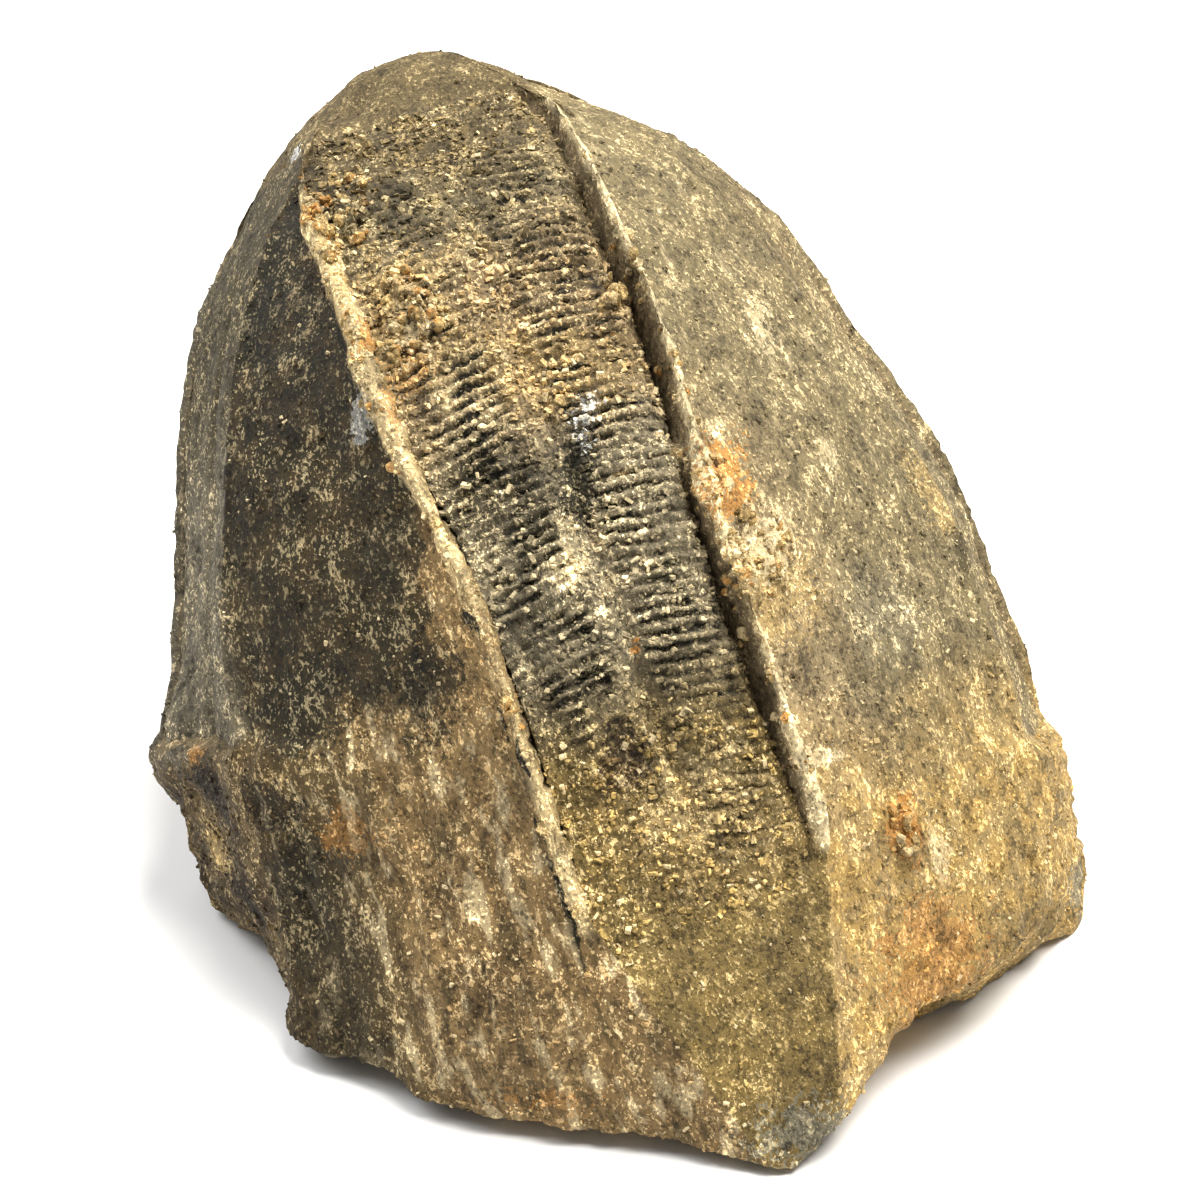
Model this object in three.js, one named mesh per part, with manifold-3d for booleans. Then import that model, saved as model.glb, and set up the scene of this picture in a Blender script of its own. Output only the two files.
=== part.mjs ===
// Blastoid theca: the bud-shaped calyx of a fossil echinoderm, broken off at its foot, with some of
// its rock still on it. It leans on the broken foot, which is cut off flat so that it stands.
// Units are millimetres, +Z is up and the foot lies in the plane z = 0.
import * as THREE from 'three';
import { mergeVertices } from 'three/addons/utils/BufferGeometryUtils.js';
import Module from 'manifold-3d';

const wasm = await Module();
wasm.setup();

// ---- driving dimensions ---------------------------------------------------------------------

// The bud in its own frame: +Z along its axis to the summit, -Y towards the front petal.
const FACE_INRADIUS = 12.8;    // axis to the middle of a face between two petals, at the widest ring
const SUMMIT_HEIGHT = 21.0;    // widest ring to summit
const LOWER_HEIGHT = 26.0;     // widest ring to the lost base of the bud
const LOWER_FULLNESS = 2.6;    // superellipse exponent of the lower profile: above 2 is fuller
const FACE_BULGE = 0.5;        // how far the middle of a face stands out of the flat
const BULGE_RUN = 5;           // width of half a face at which it has half of that bulge
const PETAL_COUNT = 5;
const PETAL_HALF_WIDTH = 3.5;  // of its lower part
const UPPER_HALF_WIDTH = 4.1;
const WIDENS = { from: 3, to: 10 };  // heights between which it widens
const SUMMIT_CROWDING = 0.6;   // petal half-width as a share of the face's distance, near the summit
const WIDTH_ROUNDING = 0.6;    // where a petal stops narrowing towards the summit
const PETAL_END = -6.0;        // height of the petals' blunt lower ends
const TOE_HEIGHT = -14.5;      // height where the plain bevel below a petal is at its narrowest
const TOE_HALF_WIDTH = 1.0;

// Relief of a petal: a raised rim, a crevice inside it, and a floor of two lobes with a groove.
const RIM_HEIGHT = 0.3;
const RIM_SPREAD = 0.38;
const FLOOR_DEPTH = 0.55;
const FLOOR_BEGINS = 0.1;      // from the rim's crest to where the floor begins to sink
const FLOOR_ENDS = 0.9;        // and to where it is at its depth
const CREVICE_DEPTH = { left: 0.15, right: 0.6 };
const CREVICE_OFFSET = 0.62;   // from the rim's crest to the crevice
const CREVICE_SPREAD = 0.32;
const LOBE_HEIGHT = 0.32;
const LOBE_SHARE = 0.8;        // of the petal's half-width that a lobe takes up
const RELIEF_TOP = 17.2;       // height at which the relief begins to fade out
const RELIEF_TOP_FADE = 2.4;
const RELIEF_END_FADE = 0.8;   // above and below the petals' lower ends

// How the bud leans on its foot, in degrees, and where the middle of its widest ring is.
const LEAN_LEFT = 19;
const LEAN_BACK = 26;
const TURN = 6;
const RING_CENTRE = new THREE.Vector3(-0.91, 1.4, 6.2);
const SURPLUS_BELOW_FOOT = 2.5;  // modelled below the foot, then sawn off
const WASTE_WIDTH = 60;          // of the block that is sawn off

// Breaks: flat cuts, each facing an azimuth and elevation at a distance from the ring's centre.
// Azimuth 0 faces the front, -Y, and 90 faces +X. The blend rounds the edge of the cut.
const BREAKS = [
  { azimuth: 80, elevation: 5, distance: 14.7, blend: 0.5 },     // right flank
  { azimuth: 55, elevation: -30, distance: 16.0, blend: 0.6 },   // right side of the foot
  { azimuth: 22, elevation: -52, distance: 17.4, blend: 0.4 },   // under the front toe
  { azimuth: -41, elevation: -74, distance: 8.55, blend: 0.3 },  // undercut, left front of the foot
];
const GRAZING = 0.02;          // a break leaves alone what faces it less than this

// Swellings (positive) and hollows (negative), each with its angular radius in degrees.
const SWELLINGS = [
  { azimuth: 34, elevation: -20, spread: 7.0, height: -1.6 },  // hollow beside the front toe
  { azimuth: -33, elevation: -23, spread: 7, height: 1.4 },    // swelling low on the left front
  { azimuth: -52, elevation: -20, spread: 5, height: -0.3 },   // dent beside it
  { azimuth: -13, elevation: -15, spread: 14, height: 1.6 },   // flare over the undercut
  { azimuth: -86, elevation: 22, spread: 24, height: -0.6 },   // worn left petal
  { azimuth: 100, elevation: 50, spread: 22, height: -0.7 },   // worn right petal
  { azimuth: 145, elevation: 62, spread: 16, height: 0.8 },    // full shoulder behind the summit
  { azimuth: 73, elevation: -19, spread: 9, height: 0.8 },     // right corner of the foot
  { azimuth: 98, elevation: -3, spread: 7, height: 0.5 },      // knob behind it
  { azimuth: -75, elevation: -2, spread: 7, height: 0.9 },     // bulge of rock at the left edge
  { azimuth: -135, elevation: 65, spread: 4, height: 0.35 },   // lump behind the summit
  { azimuth: -121, elevation: 62, spread: 3, height: -0.5 },   // notch in front of it
  { azimuth: -150, elevation: 77, spread: 8, height: -0.4 },   // flat of the summit
];

// Rock that still clings round the lower part, under a sloping ledge.
const ROCK_THICKNESS = 0.75;
const LEDGE_HEIGHT = 3.6;      // above the foot, level with the ring's centre
const LEDGE_SLOPE = 0.55;      // rise towards the front
const LEDGE_SOFTNESS = 0.35;
const BARE_AZIMUTH = 5;        // side of the bud that the rock leaves bare
const ROCK_BEGINS = 20;        // degrees from the bare side to where the rock begins
const ROCK_IS_FULL = 80;       // and to where it has its full thickness
const ROCK_FOOT_FADE = 0.8;    // height above the foot over which it thins out

// ---- resolution of the faceted solid --------------------------------------------------------

const UPPER_ROWS = 30;         // rings of vertices from the summit to the widest ring
const LOWER_ROWS = 26;         // and from there down to the lowest ring
const LOWEST_RING = -21;       // its height: what is below it is sawn off
const PETAL_STATIONS = [-1, -0.82, -0.6, -0.3, 0, 0.3, 0.6, 0.82, 1];
const FACE_STATIONS = [0.09, 0.36, 0.7];
const MID_FACE = 1;

// ---- small maths ----------------------------------------------------------------------------

const radians = THREE.MathUtils.degToRad;
const smoothstep = (low, high, x) => THREE.MathUtils.smoothstep(x, low, high);
const hump = (x, spread) => Math.exp(-((x / spread) ** 2));

/** The smaller of a and b, rounded where they are within c of each other. */
function smoothMin(a, b, c) {
  const nearness = Math.max(c - Math.abs(a - b), 0) / c;
  return Math.min(a, b) - (nearness ** 3 * c) / 6;
}

/** Unit vector facing an azimuth and elevation in degrees. */
function facing(azimuth, elevation) {
  const level = Math.cos(radians(elevation));
  return new THREE.Vector3(
    Math.sin(radians(azimuth)) * level,
    -Math.cos(radians(azimuth)) * level,
    Math.sin(radians(elevation)),
  );
}

// ---- the bud in its own frame ---------------------------------------------------------------

const HALF_SECTOR = Math.PI / PETAL_COUNT;

/** Distance of a face from the bud's axis at a height. */
function inradiusAt(height) {
  const reach = Math.abs(height) / (height > 0 ? SUMMIT_HEIGHT : LOWER_HEIGHT);
  const fullness = height > 0 ? 2 : LOWER_FULLNESS;
  return FACE_INRADIUS * (1 - reach ** fullness) ** (1 / fullness);
}

/** Half-width of a petal, or of the bevel that carries on below it. */
function petalHalfWidth(inradius, height) {
  const below = THREE.MathUtils.clamp((PETAL_END - height) / (PETAL_END - TOE_HEIGHT), 0, 1);
  const lower = THREE.MathUtils.lerp(PETAL_HALF_WIDTH, TOE_HALF_WIDTH, below);
  const wider = (UPPER_HALF_WIDTH - PETAL_HALF_WIDTH) * smoothstep(WIDENS.from, WIDENS.to, height);
  return smoothMin(lower + wider, SUMMIT_CROWDING * inradius, WIDTH_ROUNDING);
}

/** Distance of a petal's flat from the axis, so that the faces beside it stay where they are. */
function petalDistance(inradius, halfWidth) {
  return (inradius - halfWidth * Math.sin(HALF_SECTOR)) / Math.cos(HALF_SECTOR);
}

/** How far the surface stands above the plain bud, at a distance from the rim's crest. */
function relief(height, halfWidth, station, fromRim) {
  const fade = smoothstep(PETAL_END - RELIEF_END_FADE, PETAL_END + RELIEF_END_FADE, height)
    * (1 - smoothstep(RELIEF_TOP, RELIEF_TOP + RELIEF_TOP_FADE, height));
  const rim = RIM_HEIGHT * hump(fromRim, RIM_SPREAD);
  if (!station.onPetal) return fade * rim;
  const crevice = station.across < 0 ? CREVICE_DEPTH.left : CREVICE_DEPTH.right;
  const acrossLobe = Math.min(Math.abs(station.across) / LOBE_SHARE, 1);
  return fade * (
    rim
    - crevice * hump(fromRim - CREVICE_OFFSET, CREVICE_SPREAD)
    - FLOOR_DEPTH * smoothstep(FLOOR_BEGINS, FLOOR_ENDS, fromRim)
    + LOBE_HEIGHT * Math.sin(Math.PI * acrossLobe) ** 2
  );
}

/** Every station round one sector, from the rim side of its left face to its right mid-face. */
function sectorStations() {
  const onFace = (side, share) => ({ onPetal: false, side, share });
  return [
    ...[...FACE_STATIONS].reverse().map((share) => onFace(-1, share)),
    ...PETAL_STATIONS.map((across) => ({ onPetal: true, across })),
    ...FACE_STATIONS.map((share) => onFace(1, share)),
    onFace(1, MID_FACE),
  ];
}

/**
 * Point of the plain bud at a station, in the sector's own plane: u across, v outward. Also how far
 * it is from the crest of the rim.
 */
function sectionPoint(inradius, halfWidth, station) {
  const distance = petalDistance(inradius, halfWidth);
  if (station.onPetal) {
    const fromRim = halfWidth * (1 - Math.abs(station.across));
    return { u: halfWidth * station.across, v: distance, fromRim };
  }
  const across = Math.sin(HALF_SECTOR);
  const outward = Math.cos(HALF_SECTOR);
  const run = Math.hypot(inradius * across - halfWidth, inradius * outward - distance);
  const fullness = run ** 2 / (run ** 2 + BULGE_RUN ** 2);
  const bulge = FACE_BULGE * fullness * (1 - (1 - station.share) ** 2);
  return {
    u: station.side * (THREE.MathUtils.lerp(halfWidth, inradius * across, station.share)
      + bulge * across),
    v: THREE.MathUtils.lerp(distance, inradius * outward, station.share) + bulge * outward,
    fromRim: run * station.share,
  };
}

// ---- leaning, breaks and rock ---------------------------------------------------------------

const LEAN = new THREE.Matrix4()
  .makeRotationX(radians(-LEAN_BACK))
  .multiply(new THREE.Matrix4().makeRotationY(radians(-LEAN_LEFT)))
  .multiply(new THREE.Matrix4().makeRotationZ(radians(TURN)));

/** Share of full rock thickness at a bud azimuth: none on the front petal, full at the back. */
function rockShare(azimuth) {
  const offBare = Math.abs(azimuth - radians(BARE_AZIMUTH));
  return smoothstep(radians(ROCK_BEGINS), radians(ROCK_IS_FULL), offBare);
}

/** Takes a point of the plain bud to its place on the broken, leaning theca. */
function placeOnTheca(point, reliefHeight) {
  const leaning = point.clone().applyMatrix4(LEAN);
  const direction = leaning.clone().normalize();
  let radius = leaning.length();
  for (const { azimuth, elevation, distance, blend } of BREAKS) {
    const towards = facing(azimuth, elevation).dot(direction);
    if (towards > GRAZING) radius = smoothMin(radius, distance / towards, blend);
  }
  for (const { azimuth, elevation, spread, height } of SWELLINGS) {
    const off = facing(azimuth, elevation).distanceTo(direction);
    radius += height * hump(off, radians(spread));
  }
  const place = direction.clone().multiplyScalar(radius).add(RING_CENTRE);
  const ledge = LEDGE_HEIGHT - LEDGE_SLOPE * (place.y - RING_CENTRE.y);
  const covered = rockShare(Math.atan2(point.x, -point.y))
    * (1 - smoothstep(ledge - LEDGE_SOFTNESS, ledge + LEDGE_SOFTNESS, place.z));
  radius += ROCK_THICKNESS * covered * THREE.MathUtils.clamp(place.z / ROCK_FOOT_FADE, 0, 1);
  radius += reliefHeight * (1 - covered);
  if (direction.z < 0) {
    radius = Math.min(radius, (RING_CENTRE.z + SURPLUS_BELOW_FOOT) / -direction.z);
  }
  return place.copy(direction).multiplyScalar(radius).add(RING_CENTRE);
}

// ---- the solid ------------------------------------------------------------------------------

/** Heights of the rings of vertices from the summit down, both poles left out. */
function ringHeights() {
  const shares = (count) => Array.from({ length: count }, (_, i) => (i + 1) / count);
  return [
    ...shares(UPPER_ROWS).map((share) => SUMMIT_HEIGHT * Math.cos(share * Math.PI / 2)),
    ...shares(LOWER_ROWS).map((share) => LOWEST_RING * share),
  ];
}

/** The whole bud on its lean, before its foot is sawn flat. */
function wholeTheca() {
  const positions = [];
  const indices = [];
  const stations = sectorStations();
  const columns = stations.length * PETAL_COUNT;
  const addPoint = (point, rise = 0) => positions.push(...placeOnTheca(point, rise).toArray());

  addPoint(new THREE.Vector3(0, 0, SUMMIT_HEIGHT));
  const heights = ringHeights();
  for (const height of heights) {
    const inradius = inradiusAt(height);
    const halfWidth = petalHalfWidth(inradius, height);
    for (let petal = 0; petal < PETAL_COUNT; petal += 1) {
      const turn = 2 * HALF_SECTOR * petal;
      for (const station of stations) {
        const { u, v, fromRim } = sectionPoint(inradius, halfWidth, station);
        const point = new THREE.Vector3(
          u * Math.cos(turn) + v * Math.sin(turn),
          u * Math.sin(turn) - v * Math.cos(turn),
          height,
        );
        addPoint(point, relief(height, halfWidth, station, fromRim));
      }
    }
  }
  addPoint(new THREE.Vector3(0, 0, -LOWER_HEIGHT));

  const at = (row, column) => 1 + row * columns + (column % columns);
  const lastRow = heights.length - 1;
  const footPole = 1 + heights.length * columns;
  for (let column = 0; column < columns; column += 1) {
    indices.push(0, at(0, column), at(0, column + 1));
    for (let row = 0; row < lastRow; row += 1) {
      indices.push(at(row, column), at(row + 1, column), at(row + 1, column + 1));
      indices.push(at(row, column), at(row + 1, column + 1), at(row, column + 1));
    }
    indices.push(footPole, at(lastRow, column + 1), at(lastRow, column));
  }
  const geometry = new THREE.BufferGeometry();
  geometry.setAttribute('position', new THREE.Float32BufferAttribute(positions, 3));
  geometry.setIndex(indices);
  return geometry;
}

/** A closed geometry as a solid that can be cut. */
function solid(geometry) {
  const bare = geometry.clone();
  bare.deleteAttribute('normal');
  bare.deleteAttribute('uv');
  const merged = mergeVertices(bare);
  return new wasm.Manifold(new wasm.Mesh({
    numProp: 3,
    vertProperties: merged.attributes.position.array,
    triVerts: new Uint32Array(merged.index.array),
  }));
}

/** The theca with everything below its foot sawn off, so that it rests on a true flat. */
function sawnTheca() {
  const waste = new THREE.BoxGeometry(WASTE_WIDTH, WASTE_WIDTH, WASTE_WIDTH);
  waste.translate(0, 0, -WASTE_WIDTH / 2);
  const { vertProperties, triVerts } = solid(wholeTheca()).subtract(solid(waste)).getMesh();
  const geometry = new THREE.BufferGeometry();
  geometry.setAttribute('position', new THREE.BufferAttribute(vertProperties, 3));
  geometry.setIndex(new THREE.BufferAttribute(triVerts, 1));
  geometry.computeVertexNormals();
  return geometry;
}

const weatheredLimestone = new THREE.MeshStandardMaterial({
  color: 0x7d7354,
  roughness: 0.9,
  metalness: 0,
});

const theca = new THREE.Mesh(sawnTheca(), weatheredLimestone);
theca.name = 'theca';

const fossil = new THREE.Group();
fossil.add(theca);
export default fossil;
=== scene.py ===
"""A blastoid theca: the bud-shaped calyx of a fossil echinoderm, with rock round its lower part."""

import math

import bpy
from mathutils import Matrix, Vector


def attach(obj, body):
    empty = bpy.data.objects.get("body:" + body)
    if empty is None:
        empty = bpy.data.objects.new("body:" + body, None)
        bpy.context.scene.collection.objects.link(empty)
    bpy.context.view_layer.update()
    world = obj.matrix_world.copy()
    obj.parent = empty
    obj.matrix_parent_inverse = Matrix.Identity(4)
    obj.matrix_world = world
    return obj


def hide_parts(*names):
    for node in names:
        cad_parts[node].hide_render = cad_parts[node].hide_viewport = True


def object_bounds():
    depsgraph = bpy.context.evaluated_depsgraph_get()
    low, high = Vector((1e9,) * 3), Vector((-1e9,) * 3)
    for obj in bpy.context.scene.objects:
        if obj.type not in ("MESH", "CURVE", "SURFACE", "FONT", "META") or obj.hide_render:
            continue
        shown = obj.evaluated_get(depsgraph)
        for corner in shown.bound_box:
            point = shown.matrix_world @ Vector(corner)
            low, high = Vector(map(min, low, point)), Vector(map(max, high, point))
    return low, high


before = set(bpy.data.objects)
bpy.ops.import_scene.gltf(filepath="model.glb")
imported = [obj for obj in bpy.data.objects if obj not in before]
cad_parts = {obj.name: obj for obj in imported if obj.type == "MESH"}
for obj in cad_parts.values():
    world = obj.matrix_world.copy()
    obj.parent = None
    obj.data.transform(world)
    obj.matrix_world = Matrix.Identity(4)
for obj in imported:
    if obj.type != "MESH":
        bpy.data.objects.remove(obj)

cad_low, cad_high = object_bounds()

# ---- driving dimensions, in millimetres and degrees, as in the solid part ----------------------

# The bud in its own frame: +Z along its axis to the summit, -Y towards the front petal.
FACE_INRADIUS = 12.8
SUMMIT_HEIGHT = 21.0
LOWER_HEIGHT = 26.0
LOWER_FULLNESS = 2.6
FACE_BULGE = 0.5
BULGE_RUN = 5             # width of half a face at which it has half of that bulge
PETAL_COUNT = 5
PETAL_HALF_WIDTH = 3.5
UPPER_HALF_WIDTH = 4.1
WIDENS_FROM, WIDENS_TO = 3.0, 10.0
SUMMIT_CROWDING = 0.6
WIDTH_ROUNDING = 0.6
PETAL_END = -6.0
TOE_HEIGHT = -14.5
TOE_HALF_WIDTH = 1.0
RELIEF_TOP = 17.2
RELIEF_TOP_FADE = 2.4
RELIEF_END_FADE = 0.8

# How the bud leans on its foot, and where the middle of its widest ring is.
LEAN_LEFT = 19
LEAN_BACK = 26
TURN = 6
RING_CENTRE = Vector((-0.91, 1.4, 6.2))

# Flat breaks: azimuth and elevation faced, distance from the ring's centre, rounding.
BREAKS = (
    (80, 5, 14.7, 0.5),     # right flank
    (55, -30, 16.0, 0.6),   # right side of the foot
    (22, -52, 17.4, 0.4),   # under the front toe
    (-41, -74, 8.55, 0.3),  # undercut, left front of the foot
)

GRAZING = 0.02            # a break leaves alone what faces it less than this

# Swellings and hollows: azimuth and elevation faced, angular radius, height.
SWELLINGS = (
    (34, -20, 7.0, -1.6),  # hollow beside the front toe
    (-33, -23, 7, 1.4),    # swelling low on the left front
    (-52, -20, 5, -0.3),   # dent beside it
    (-13, -15, 14, 1.6),   # flare over the undercut
    (-86, 22, 24, -0.6),   # worn left petal
    (100, 50, 22, -0.7),   # worn right petal
    (145, 62, 16, 0.8),    # full shoulder behind the summit
    (73, -19, 9, 0.8),     # right corner of the foot
    (98, -3, 7, 0.5),      # knob behind it
    (-75, -2, 7, 0.9),     # bulge of rock at the left edge
    (-135, 65, 4, 0.35),   # lump behind the summit
    (-121, 62, 3, -0.5),   # notch in front of it
    (-150, 77, 8, -0.4),   # flat of the summit
)

# Rock that clings round the lower part, under a sloping ledge.
ROCK_THICKNESS = 0.75
LEDGE_HEIGHT = 3.6
LEDGE_SLOPE = 0.55
BARE_AZIMUTH = 5
ROCK_BEGINS, ROCK_IS_FULL = 20, 80    # degrees round from the bare side

# ---- dimensions of the fine relief, in millimetres and degrees ---------------------------------

PLATE_HEIGHT = 0.15
PLATE_PITCH = 0.4
PLATES_TOP = 15.0         # height at which the side plates begin to fade out
PLATES_CLIMB = 9          # degrees by which their rows climb to the petal's middle
BRIDGE_HEIGHT = 5.7       # where crust bridges the crevice beside the front petal
BRIDGE_SPREAD = 0.5
CREVICE_OPEN = (18.0, 12.0)     # heights between which the crevice opens out below the summit
CREVICE_SHALLOW = (-5.0, 0.5)   # and below which it gets shallow again
FOOT_FADE = (0.1, 0.8)    # heights over the foot between which weathering begins
SEAM = 0.002              # points closer than this are one

MM = 0.001
FULL_TURN = 2 * math.pi
SECTOR = FULL_TURN / PETAL_COUNT
DEGREES = 180 / math.pi


# ---- node trees written as arithmetic ----------------------------------------------------------

def operators(operation):
    """The two methods that add a Math node for flow + other and other + flow, or the like."""
    return (lambda flow, other: calc(operation, flow, other),
            lambda flow, other: calc(operation, other, flow))


class Flow:
    """A number or vector flowing through a node tree. Arithmetic on it adds Math nodes."""

    def __init__(self, tree, socket):
        self.tree, self.socket = tree, socket
        self.is_vector = socket.type == "VECTOR"

    __add__, __radd__ = operators("ADD")
    __sub__, __rsub__ = operators("SUBTRACT")
    __truediv__, __rtruediv__ = operators("DIVIDE")
    __pow__, __rpow__ = operators("POWER")

    def __mul__(self, other):
        if self.is_vector and not is_vector(other):
            return scaled(self, other)
        if is_vector(other) and not self.is_vector:
            return scaled(other, self)
        return calc("MULTIPLY", self, other)

    __rmul__ = __mul__

    def __neg__(self):
        return self * -1

    def __abs__(self):
        return calc("ABSOLUTE", self)


def is_vector(value):
    return value.is_vector if isinstance(value, Flow) else isinstance(value, (Vector, tuple))


def calc(operation, *values):
    """One Math or Vector Math node on flows and plain values."""
    tree = next(v.tree for v in values if isinstance(v, Flow))
    vector = any(is_vector(v) for v in values)
    node = tree.add("ShaderNodeVectorMath" if vector else "ShaderNodeMath", operation=operation)
    for socket, value in zip(node.inputs, values):
        tree.feed(socket, value)
    gives_number = operation in ("LENGTH", "DOT_PRODUCT", "DISTANCE")
    return Flow(tree, node.outputs["Value" if gives_number or not vector else "Vector"])


def scaled(vector, factor):
    tree = vector.tree if isinstance(vector, Flow) else factor.tree
    return tree.node("ShaderNodeVectorMath", {0: vector, 3: factor}, operation="SCALE")


def smoothstep(low, high, x):
    """0 below low, 1 above high, smooth between them, and turned round if low is above high."""
    inputs = {0: x, 1: low, 2: high}
    return x.tree.node("ShaderNodeMapRange", inputs, interpolation_type="SMOOTHSTEP")


def blend(a, b, share):
    """a where share is 0 and b where it is 1."""
    return a + (b - a) * share


def hump(x, spread):
    """A bell that is 1 where x is 0 and falls off over spread."""
    reach = x / spread
    return calc("EXPONENT", -(reach * reach))


def smooth_min(a, b, rounding):
    return calc("SMOOTH_MIN", a, b, rounding)


def vector_of(x, y, z):
    tree = next(v.tree for v in (x, y, z) if isinstance(v, Flow))
    return tree.node("ShaderNodeCombineXYZ", {0: x, 1: y, 2: z})


def parts_of(vector):
    """The x, y and z of a vector flow."""
    node = vector.tree.add("ShaderNodeSeparateXYZ")
    vector.tree.feed(node.inputs[0], vector)
    return [Flow(vector.tree, output) for output in node.outputs]


def ramp(x, low, high):
    """0 below low, 1 above high, straight between them."""
    return x.tree.node("ShaderNodeMapRange", {0: x, 1: low, 2: high})


def centred(x):
    """Noise from 0 to 1 as noise from -1 to 1."""
    return x * 2 - 1


def noise(vector, size, detail=3.0, roughness=0.55):
    """Cloudy noise from 0 to 1 whose features are about this size."""
    inputs = {"Vector": vector, "Scale": 1 / size, "Detail": detail, "Roughness": roughness}
    return vector.tree.node("ShaderNodeTexNoise", inputs)


def bumps(vector, size, height, detail=3.0, roughness=0.55):
    """Noise from -height to height whose features are about this size."""
    return centred(noise(vector, size, detail, roughness)) * height


def cells(vector, size):
    """Distance to the nearest of a scatter of cell centres about this far apart, in cell sizes."""
    inputs = {"Vector": vector, "Scale": 1 / size}
    return vector.tree.node("ShaderNodeTexVoronoi", inputs, "Distance")


def azimuth_of(x, y):
    """Degrees round from the front, positive to the right."""
    return calc("ARCTAN2", x, -y) * DEGREES


class Tree:
    """A node tree in the making, with named inputs and outputs."""

    def __init__(self, node_tree):
        self.made = node_tree
        self.entry = None

    @classmethod
    def group(cls, name, kind="GeometryNodeTree"):
        return cls(bpy.data.node_groups.new(name, kind))

    def add(self, kind, **settings):
        node = self.made.nodes.new(kind)
        for name, value in settings.items():
            setattr(node, name, value)
        return node

    def feed(self, socket, value):
        if isinstance(value, Flow):
            self.made.links.new(value.socket, socket)
        elif value is not None:
            socket.default_value = value

    def node(self, kind, inputs=None, output=0, **settings):
        """Adds a node, feeds the inputs that are given by name or number, returns one output."""
        node = self.add(kind, **settings)
        for name, value in (inputs or {}).items():
            self.feed(node.inputs[name], value)
        return Flow(self, node.outputs[output])

    def input(self, name, default=None, kind="NodeSocketFloat"):
        socket = self.made.interface.new_socket(name, in_out="INPUT", socket_type=kind)
        if default is not None:
            socket.default_value = default
        self.entry = self.entry or self.add("NodeGroupInput")
        return Flow(self, self.entry.outputs[name])

    def give(self, **results):
        """Makes the group's outputs from flows, one for each keyword."""
        kinds = {"GEOMETRY": "NodeSocketGeometry", "VECTOR": "NodeSocketVector",
                 "RGBA": "NodeSocketColor"}
        for name, flow in results.items():
            kind = kinds.get(flow.socket.type, "NodeSocketFloat")
            self.made.interface.new_socket(name, in_out="OUTPUT", socket_type=kind)
        exit_node = self.add("NodeGroupOutput")
        for name, flow in results.items():
            self.feed(exit_node.inputs[name], flow)
        return self.made

    def use(self, group, **inputs):
        """Places a group and returns its outputs by name."""
        kind = "GeometryNodeGroup" if group.type == "GEOMETRY" else "ShaderNodeGroup"
        node = self.add(kind, node_tree=group)
        for name, value in inputs.items():
            self.feed(node.inputs[name.replace("_", " ")], value)
        return {output.name: Flow(self, output) for output in node.outputs}


# ---- the bud as groups of geometry nodes -------------------------------------------------------

def bud_ring_group():
    """Height of a ring of the bud, from its way down: 0 summit, 1 widest, 2 toe, 3 lost base."""
    tree = Tree.group("bud ring")
    way = tree.input("Way down")
    latitude = calc("MINIMUM", way, 1) * (math.pi / 2)
    lower = calc("MINIMUM", calc("MAXIMUM", way - 1, 0), 1)
    last = calc("MAXIMUM", way - 2, 0)
    height = (calc("COSINE", latitude) * SUMMIT_HEIGHT
              + lower * TOE_HEIGHT
              + last * (-LOWER_HEIGHT - TOE_HEIGHT))
    # Length of the curve from the summit: a short series for the upper quarter of the ellipse.
    squares = FACE_INRADIUS ** 2 + SUMMIT_HEIGHT ** 2
    bias = (SUMMIT_HEIGHT ** 2 - FACE_INRADIUS ** 2) / squares
    upper_arc = (latitude - calc("SINE", latitude * 2) * (bias / 4)) * math.sqrt(squares / 2)
    return tree.give(Height=height, Arc=upper_arc - lower * TOE_HEIGHT)


def bud_point_group():
    """Point of the plain bud, in its own frame.

    Across is -1 to 1 over a petal, and goes on to -2 and 2 at the middles of the faces beside it.
    """
    tree = Tree.group("bud point")
    height = tree.input("Height")
    petal = tree.input("Petal")
    across = tree.input("Across")

    is_lower = calc("LESS_THAN", height, 0)
    fullness = blend(2.0, LOWER_FULLNESS, is_lower)
    reach = abs(height) / blend(SUMMIT_HEIGHT, LOWER_HEIGHT, is_lower)
    inradius = calc("MAXIMUM", 1 - reach ** fullness, 0) ** (1 / fullness) * FACE_INRADIUS

    below = calc("MULTIPLY", PETAL_END - height, 1 / (PETAL_END - TOE_HEIGHT))
    below = calc("MINIMUM", calc("MAXIMUM", below, 0), 1)
    wider = (UPPER_HALF_WIDTH - PETAL_HALF_WIDTH) * smoothstep(WIDENS_FROM, WIDENS_TO, height)
    half_width = smooth_min(blend(PETAL_HALF_WIDTH, TOE_HALF_WIDTH, below) + wider,
                            inradius * SUMMIT_CROWDING, WIDTH_ROUNDING)
    sine, cosine = math.sin(SECTOR / 2), math.cos(SECTOR / 2)
    distance = (inradius - half_width * sine) / cosine

    on_petal = calc("MINIMUM", abs(across), 1)
    share = calc("MAXIMUM", abs(across) - 1, 0)
    run_u = inradius * sine - half_width
    run_v = inradius * cosine - distance
    run_squared = run_u * run_u + run_v * run_v
    full_bulge = FACE_BULGE * run_squared / (run_squared + BULGE_RUN ** 2)
    bulge = full_bulge * (1 - (1 - share) * (1 - share))
    u = calc("SIGN", across) * (half_width * on_petal + run_u * share + bulge * sine)
    v = distance + run_v * share + bulge * cosine

    turn = petal * SECTOR
    cos_turn, sin_turn = calc("COSINE", turn), calc("SINE", turn)
    point = vector_of(u * cos_turn + v * sin_turn, u * sin_turn - v * cos_turn, height)
    from_rim = half_width * (1 - on_petal) - calc("SQRT", run_squared) * share
    return tree.give(Point=point, From_rim=from_rim, Half_width=half_width, U=u)


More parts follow.
